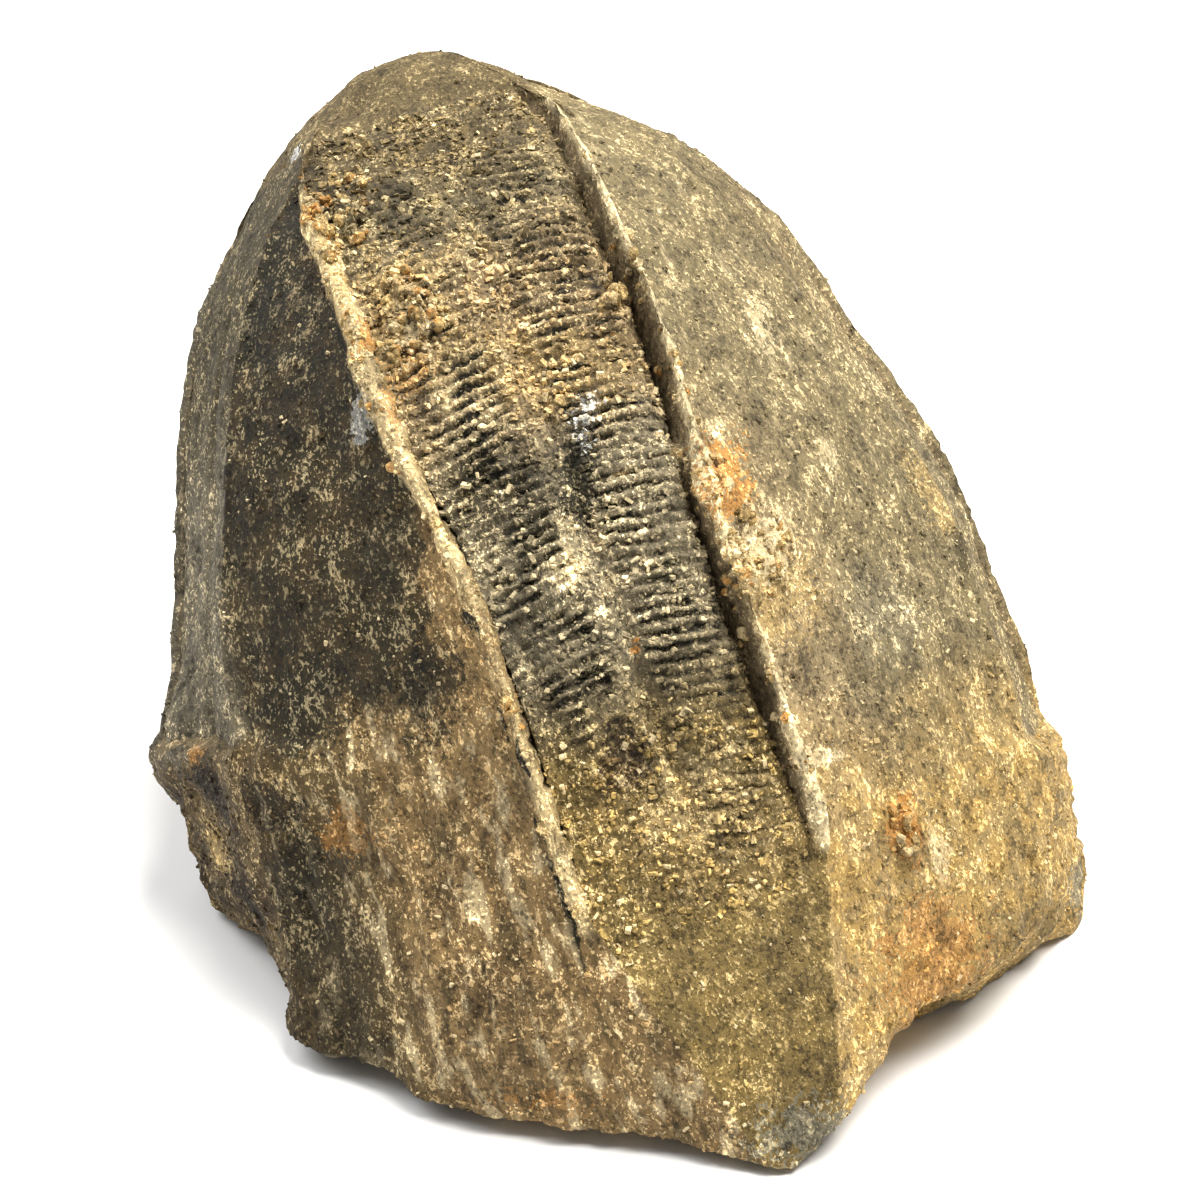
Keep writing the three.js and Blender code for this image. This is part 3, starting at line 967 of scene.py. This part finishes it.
# Each stain: colour, strength, centre and reach in millimetres.
THECA_STAINS = (
    (TAN, 0.8, (-4.4, -10.4, 12.0), (1.3, 2.0, 3.6)),         # strip beside the left rim
    (YELLOW_TAN, 0.9, (-8.0, 1.0, 21.8), (1.3, 4.0, 2.2)),    # crust on the left rim's top
    (CREAM, 0.7, (-8.0, -0.6, 22.0), (0.8, 1.6, 1.0)),
    (ORANGE, 0.8, (-9.0, 2.9, 22.6), (0.7, 1.2, 0.7)),
    (ORANGE, 0.8, (-7.2, -3.2, 20.5), (0.8, 1.2, 1.2)),
    (ORANGE, 0.6, (-6.4, -5.6, 18.8), (0.7, 0.8, 1.2)),
    (SLATE, 0.8, (-10.8, 5.6, 22.0), (1.0, 1.6, 0.8)),        # painted sheen of a shiny patch at the left edge
    # painted highlight on that shiny patch
    (WHITE, 0.9, (-10.6, 6.2, 22.4), (0.4, 0.6, 0.4)),
    (BLACK_GREY, 0.9, (-11.0, 0.2, 20.4), (1.6, 3.0, 2.2)),
    (WHITE, 0.25, (-7.6, -5.3, 18.1), (0.4, 0.7, 0.8)),
    (BLACK_GREY, 0.8, (-9.6, -8.0, 10.4), (2.6, 1.8, 1.6)),   # smooth dark plate over the ledge
    (BLACK_GREY, 0.8, (-5.6, -9.8, 11.8), (1.1, 1.4, 1.7)),
    (ORANGE, 0.8, (2.8, -7.0, 16.8), (1.2, 1.6, 1.6)),        # crust on the right rim
    (YELLOW_TAN, 0.8, (4.1, -8.3, 14.4), (1.9, 2.2, 2.4)),
    (CREAM, 0.7, (4.0, -7.6, 15.2), (1.3, 1.4, 1.3)),
    (CREAM, 0.5, (4.2, -1.6, 19.8), (0.6, 1.2, 1.7)),
    (CREAM, 0.4, (6.1, -3.9, 16.4), (0.4, 0.7, 1.0)),
    (YELLOW_TAN, 0.7, (9.8, -1.6, 14.6), (1.2, 1.6, 1.8)),    # ochre towards the right edge
    (BLACK_GREY, 0.5, (10.3, -2.8, 12.6), (0.6, 0.8, 0.7)),
    (SLATE, 0.45, (7.6, -6.2, 12.2), (1.8, 1.8, 1.8)),
    (CREAM, 0.6, (5.4, -10.5, 9.9), (1.3, 0.8, 0.3)),         # vein
    (ORANGE, 0.8, (8.1, -10.2, 7.2), (0.7, 0.9, 1.3)),
    (CREAM, 0.4, (9.2, -9.8, 6.3), (0.5, 0.8, 1.7)),
    (ORANGE, 0.6, (8.8, -11.6, 3.6), (2.8, 2.4, 2.2)),        # foot, right
    (SLATE, 0.8, (14.6, -4.2, 1.2), (1.0, 1.6, 1.1)),
    (SLATE, 0.95, (5.0, -15.8, 0.8), (2.0, 1.7, 1.3)),        # tip of the toe
    (BLACK_BROWN, 0.9, (-12.8, -5.6, 5.8), (1.1, 1.3, 0.9)),  # painted shade of hollows, left edge
    (BLACK_BROWN, 0.8, (-10.4, -8.6, 7.2), (1.4, 1.2, 0.9)),
    (BLACK_BROWN, 0.8, (-11.8, -7.2, 2.6), (1.2, 1.2, 1.2)),
    (ORANGE, 0.6, (-13.5, -4.2, 7.0), (0.9, 1.2, 0.7)),
    (YELLOW_TAN, 0.7, (-12.8, -5.6, 3.6), (0.9, 1.0, 1.0)),
    (BLACK_GREY, 0.7, (-9.4, -9.6, 4.6), (1.2, 1.3, 3.0)),
    (ORANGE, 0.35, (-8.0, -10.2, 7.2), (1.2, 1.2, 0.8)),
    (DARK_BROWN, 0.6, (-5.0, -11.7, 6.2), (0.8, 0.9, 0.7)),
    (DARK_BROWN, 0.5, (-3.6, -13.6, 4.4), (1.6, 1.4, 1.2)),
    (ORANGE, 0.4, (-1.9, -14.4, 1.4), (1.6, 1.2, 0.7)),
)

PETAL_STAINS = (
    (YELLOW_TAN, 0.6, (-6.4, -3.0, 20.2), (1.8, 3.2, 3.0)),  # left band, upper part
    (YELLOW_TAN, 0.5, (-2.6, -4.6, 19.4), (4.5, 1.8, 1.8)),
    (DARK_GREY, 0.6, (-3.2, -7.0, 16.8), (2.6, 1.8, 2.0)),
    (BLACK_GREY, 0.9, (-1.3, -6.8, 17.2), (0.6, 2.0, 2.4)),  # dark length of the groove
    (WHITE, 0.55, (-1.1, -5.8, 18.6), (0.45, 0.8, 1.2)),
    (CREAM, 0.45, (-1.6, -8.6, 15.2), (0.6, 1.0, 1.4)),
    (DARK_BROWN, 0.9, (0.0, -11.3, 10.2), (1.0, 1.2, 1.1)),
    (ORANGE, 0.9, (0.3, -9.5, 12.9), (0.2, 0.2, 0.4)),
    (YELLOW_TAN, 0.35, (2.7, -12.0, 8.0), (4.0, 2.0, 2.6)),
    (CREAM, 0.15, (2.4, -11.4, 9.2), (2.2, 1.6, 2.0)),
    (CREAM, 0.4, (-4.6, -5.0, 17.6), (1.4, 2.0, 2.4)),
    (ORANGE, 0.4, (-6.2, -4.2, 19.3), (0.8, 1.2, 1.6)),
    (CREAM, 0.7, (-6.2, -3.4, 20.0), (0.9, 1.2, 1.1)),
)


DARK_SIDE_ENDS = (-125.0, -110.0)     # azimuths between which the dark left side begins


def round_the_bud(tree):
    """Azimuth in degrees, and height, on the bud before it leaned."""
    x, y, height = parts_of(attribute(tree, "bud", "Vector"))
    return azimuth_of(x, y), height


def near_summit(height):
    """Share of the brown that the summit and the petals' upper ends have."""
    return smoothstep(14.5, 17.0, height) * 0.8


def paint_theca(tree, place):
    """Pale on the right of the front petal, dark on its left, brown and streaky round the foot,
    with painted shade deep in the channels.
    """
    azimuth, height = round_the_bud(tree)
    inside = attribute(tree, "inside")
    broad = centred(noise(place, 2.4, 5.0, 0.68))
    patches = smoothstep(0.46, 0.56, noise(place, 0.9, 5.0, 0.72))
    streaks = noise(vector_of(azimuth * 0.25, height * 0.35, broad * 0.5), 0.6)
    level = height + broad * 2.5
    turn = azimuth + broad * 6
    at_sides = smoothstep(40.0, 46.0, abs(azimuth)) * smoothstep(17.5, 16.0, height)
    outside = calc("MAXIMUM", smoothstep(0.12, -0.12, inside), at_sides)
    leftward = smoothstep(0.0, -1.0, azimuth) * smoothstep(*DARK_SIDE_ENDS, azimuth)
    left = outside * leftward
    right = outside * (1 - leftward)

    # The right side: grey, pinker beside the rim and orange low down.
    near_rim = smoothstep(36.0, 20.0, turn) * smoothstep(9.0, 2.0, level)
    side = layered(
        OLIVE_GREY,
        (COOL_GREY, patches * 0.5),
        (CREAM, smoothstep(0.58, 0.66, streaks) * patches * 0.3),
        (PINK_TAN, near_rim * 0.8),
        (ORANGE_TAN, smoothstep(-1.5, -7.0, level) * blend(0.5, 1.0, patches)))

    # The left side low down: streaky tan, greyer and browner to the left.
    clouded = blend(0.4, 1.0, smoothstep(-0.1, 0.15, broad))
    clear = smoothstep(-0.1, -0.3, broad)
    grey_band = hump(azimuth + 50 + broad * 6, 5.0) * smoothstep(0.0, -2.5, height)
    low = layered(
        TAN,
        (BROWN, patches * blend(0.3, 0.9, smoothstep(-30.0, -60.0, turn))),
        (OLIVE_BROWN, smoothstep(-34.0, -44.0, turn) * 0.7),
        (DARK_BROWN, clouded * smoothstep(-50.0, -60.0, turn)),
        (YELLOW_TAN, clear * smoothstep(-55.0, -65.0, turn) * 0.25),
        (CREAM, smoothstep(0.54, 0.63, streaks) * smoothstep(-63.0, -55.0, turn) * 0.5),
        (OLIVE_BROWN, smoothstep(0.45, 0.36, streaks) * 0.75),
        (DARK_GREY, calc("MINIMUM", grey_band, 0.65)))

    # The left side above: dark grey, but for a strip beside the rim and a painted highlight along a
    # polished edge.
    strip = smoothstep(-21.0, -19.5, turn + patches * 1.5) * smoothstep(7.5, 5.0, level)
    dark = left * smoothstep(0.9, 2.0, level) * smoothstep(20.5, 19.0, level) * (1 - strip)
    # Painted highlight: a pale line along the polished left edge.
    edge_highlight = hump(azimuth + 56.5 + broad * 2, 1.0) * smoothstep(17.0, 14.0, height)
    darkest = layered(
        DARK_GREY,
        (BLACK_GREY, smoothstep(6.0, 12.0, level) * 0.7),
        (BROWN, patches * 0.2),
        (SMOOTH_GREY, smoothstep(-53.0, -58.0, azimuth) * 0.8),
        (ASH, edge_highlight * 0.5))

    # The rims, pale on the right of the petal, and dark streaks low along the one on its left.
    crest = mixed(YELLOW_TAN, CREAM, blend(0.4, 1.0, smoothstep(4.0, 8.0, azimuth)))
    on_crest = smoothstep(0.05, 0.5, attribute(tree, "rim")) * smoothstep(0.3, 0.1, inside)
    dark_streaks_by_rim = hump(azimuth + 17 + broad * 2, 1.0) * smoothstep(5.0, 3.5, height)
    dark_streaks_by_rim = dark_streaks_by_rim * smoothstep(-8.5, -7.0, height) * smoothstep(0.52, 0.56, streaks)

    # All of it over the olive of the toe and the summit.
    colour = layered(
        OLIVE,
        (OLIVE_BROWN, patches * 0.4),
        (OLIVE_GREY, smoothstep(8.0, 14.0, height)),
        (OLIVE_BROWN, near_summit(height)),
        (side, right * smoothstep(19.0, 17.0, height)),
        (multiplied(low, (0.85,) * 3), left),
        (darkest, dark),
        (crest, on_crest * blend(0.8, 1.0, patches)),
        (BLACK_GREY, calc("MINIMUM", dark_streaks_by_rim * 1.4, 1)))
    colour = stained(colour, place, THECA_STAINS)
    # Painted shade: deep in the channels the colour turns to the crevices' dark brown, which is
    # partly their own brown fill.
    channel = smoothstep(0.05, 0.42, attribute(tree, "channel"))
    flecks = blend(1.1, 1.5, left) * blend(1.0, 0.7, smoothstep(14.0, 17.0, height))
    return mixed(colour, CREVICE_FILL_AND_SHADE, channel), flecks


def paint_petal(tree, place):
    """Brown above, grey in the middle and olive below, the right half painted lighter, with painted
    shade between the side plates and at the crevice.
    """
    azimuth, height = round_the_bud(tree)
    across = attribute(tree, "across")
    patches = smoothstep(0.42, 0.6, noise(place, 0.8, 5.0, 0.72))
    colour = layered(
        OLIVE,
        (ASH, smoothstep(-2.5, 1.5, height)),
        (TAN, smoothstep(6.0, 9.0, height) * 0.7),
        (OLIVE_GREY, smoothstep(12.0, 15.0, height)),
        (OLIVE_BROWN, near_summit(height)))
    # The patches are the stone's own. Making the right half a tenth lighter is painted light on the
    # band turned towards the key.
    colour = multiplied(colour, blend(0.6, 1.1, patches) * blend(1.0, 1.1, ramp(across, -1, 1)))
    left = mixed(SMOOTH_GREY, DARK_GREY, smoothstep(9.0, 13.0, height) * 0.85)
    leftward = smoothstep(-38.0, -46.0, azimuth) * smoothstep(*DARK_SIDE_ENDS, azimuth)
    colour = layered(
        colour,
        (OLIVE_GREY, smoothstep(42.0, 48.0, abs(azimuth)) * 0.8),
        (left, leftward * 0.85))
    # Painted shade: near black in the troughs between the side plates where their relief is, and
    # the crevice's dark brown over the petal's right margin.
    between = (1 - attribute(tree, "plate")) * attribute(tree, "plate_share")
    between = calc("MINIMUM", between * blend(0.7, 1.5, patches), 1)
    colour = layered(
        stained(colour, place, PETAL_STAINS),
        (CREVICE_FILL_AND_SHADE, smoothstep(2.8, 3.4, across) * 0.8),
        (BLACK_GREY, between))
    return colour, blend(1.9, 1.1, smoothstep(13.0, 16.0, height))


def grains_of(paint, lightest):
    """Paint for loose grains: the colour of the ground, lighter or darker from grain to grain."""
    def paint_grain(tree, place):
        tone = attribute(tree, "tone")
        ground, _ = paint(tree, place)
        colour = multiplied(ground, blend(0.7, lightest, tone ** 1.5))
        return mixed(colour, CREAM, smoothstep(0.86, 0.94, tone) * 0.85), 0.4
    return paint_grain


def paint_crust(tree, place):
    """Cream lumps, some of them rusty."""
    tone = attribute(tree, "tone")
    rust = smoothstep(0.5, 0.62, noise(place, 0.8, 4.0, 0.7))
    rusty = mixed(YELLOW_TAN, ORANGE, rust * 0.8)
    return mixed(rusty, CREAM, smoothstep(0.5, 0.95, tone) * 0.7), 1.0


# ---- the fossil --------------------------------------------------------------------------------

def put(piece):
    """Makes the piece part of the one solid stone."""
    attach(piece, "root")


body = grown("theca_body", theca_body_tree(stone_material("weathered theca", paint_theca)))
put(body)
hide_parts("theca")

petals = petal_tree(stone_material("petal plates", paint_petal))
FINE, PLAIN = (470, 150), (300, 80)     # rows and columns of a petal's mesh
WORN_PLATES = 0.03
for number, (name, (rows, columns), plate_height) in enumerate((
        ("front_petal", FINE, PLATE_HEIGHT),
        ("right_petal", PLAIN, WORN_PLATES),
        ("back_right_petal", PLAIN, PLATE_HEIGHT),
        ("back_left_petal", PLAIN, PLATE_HEIGHT),
        ("left_petal", PLAIN, WORN_PLATES))):
    put(grown(name, petals, Petal=float(number), Seed=13.0 * number, Rows=rows, Columns=columns,
              Plate_height=plate_height))
front_petal = bpy.data.objects["front_petal"]

theca_grains = stone_material("theca grains", grains_of(paint_theca, 2.6))
put(grown("theca_grains", grains_tree(theca_grains, "theca grains", chip, theca_closeness),
          Ground=body, Grains_per_square_mm=7.0, Smallest_radius=0.03, Largest_radius=0.09))
petal_grains = stone_material("petal grains", grains_of(paint_petal, 4.5))
put(grown("petal_grains", grains_tree(petal_grains, "petal grains", chip, petal_closeness),
          Ground=front_petal, Grains_per_square_mm=24.0, Smallest_radius=0.03,
          Largest_radius=0.12))
crust_stone = stone_material("crust", paint_crust)
crust_tree = grains_tree(crust_stone, "crust lumps", lump, crust_closeness)
for name, ground in (("crust_lumps", body), ("petal_crust", front_petal)):
    put(grown(name, crust_tree, Ground=ground, Grains_per_square_mm=36.0, Smallest_radius=0.04,
              Largest_radius=0.19, Unevenness=0.35))


# ---- stage -------------------------------------------------------------------------------------

def add_floor(reach):
    """A pale floor that goes on for this many metres each way."""
    mesh = bpy.data.meshes.new("floor")
    corners = [(-reach, -reach, 0), (reach, -reach, 0), (reach, reach, 0), (-reach, reach, 0)]
    mesh.from_pydata(corners, [], [(0, 1, 2, 3)])
    floor = new_object("floor", mesh)
    material, shader = new_material("pale floor")
    shader.inputs["Base Color"].default_value = (FLOOR_GREY, FLOOR_GREY, FLOOR_GREY, 1)
    shader.inputs["Roughness"].default_value = FLOOR_ROUGHNESS
    floor.data.materials.append(material)


def add_light(name, azimuth, elevation, distance, size, power, colour=(1, 1, 1)):
    """A square soft light that faces the fossil's middle."""
    light = bpy.data.lights.new(name, "AREA")
    light.size, light.energy, light.color = size, power, colour
    lamp = new_object(name, light)
    middle = (cad_low + cad_high) / 2
    back = facing(azimuth, elevation)
    lamp.location = middle + back * distance
    lamp.rotation_euler = back.to_track_quat("Z", "Y").to_euler()


def add_camera(elevation, distance, lens, aim_offset):
    """A camera in front, looking along +Y and down at a point near the ring's centre."""
    data = bpy.data.cameras.new("camera")
    data.lens, data.sensor_width, data.clip_start = lens, 36, 0.002
    camera = new_object("camera", data)
    aim = (RING_CENTRE + Vector(aim_offset)) * MM
    back = facing(0, elevation)
    camera.location = aim + back * distance
    camera.rotation_euler = back.to_track_quat("Z", "Y").to_euler()
    bpy.context.scene.camera = camera


def add_world(brightness):
    """Even white light from all round."""
    world = bpy.data.worlds.new("studio")
    world.use_nodes = True
    background = world.node_tree.nodes["Background"]
    background.inputs["Color"].default_value = (1, 1, 1, 1)
    background.inputs["Strength"].default_value = brightness
    bpy.context.scene.world = world


add_floor(reach=1.5)
add_light("key", azimuth=98, elevation=70, distance=0.35, size=0.22, power=3.15,
          colour=(1.0, 0.97, 0.92))
add_light("back", azimuth=-110, elevation=50, distance=0.35, size=0.3, power=1.4)
add_world(brightness=0.22)
add_camera(elevation=27, distance=0.082, lens=75, aim_offset=(0.2, 0.0, 2.65))
bpy.context.scene.view_settings.view_transform = "Standard"
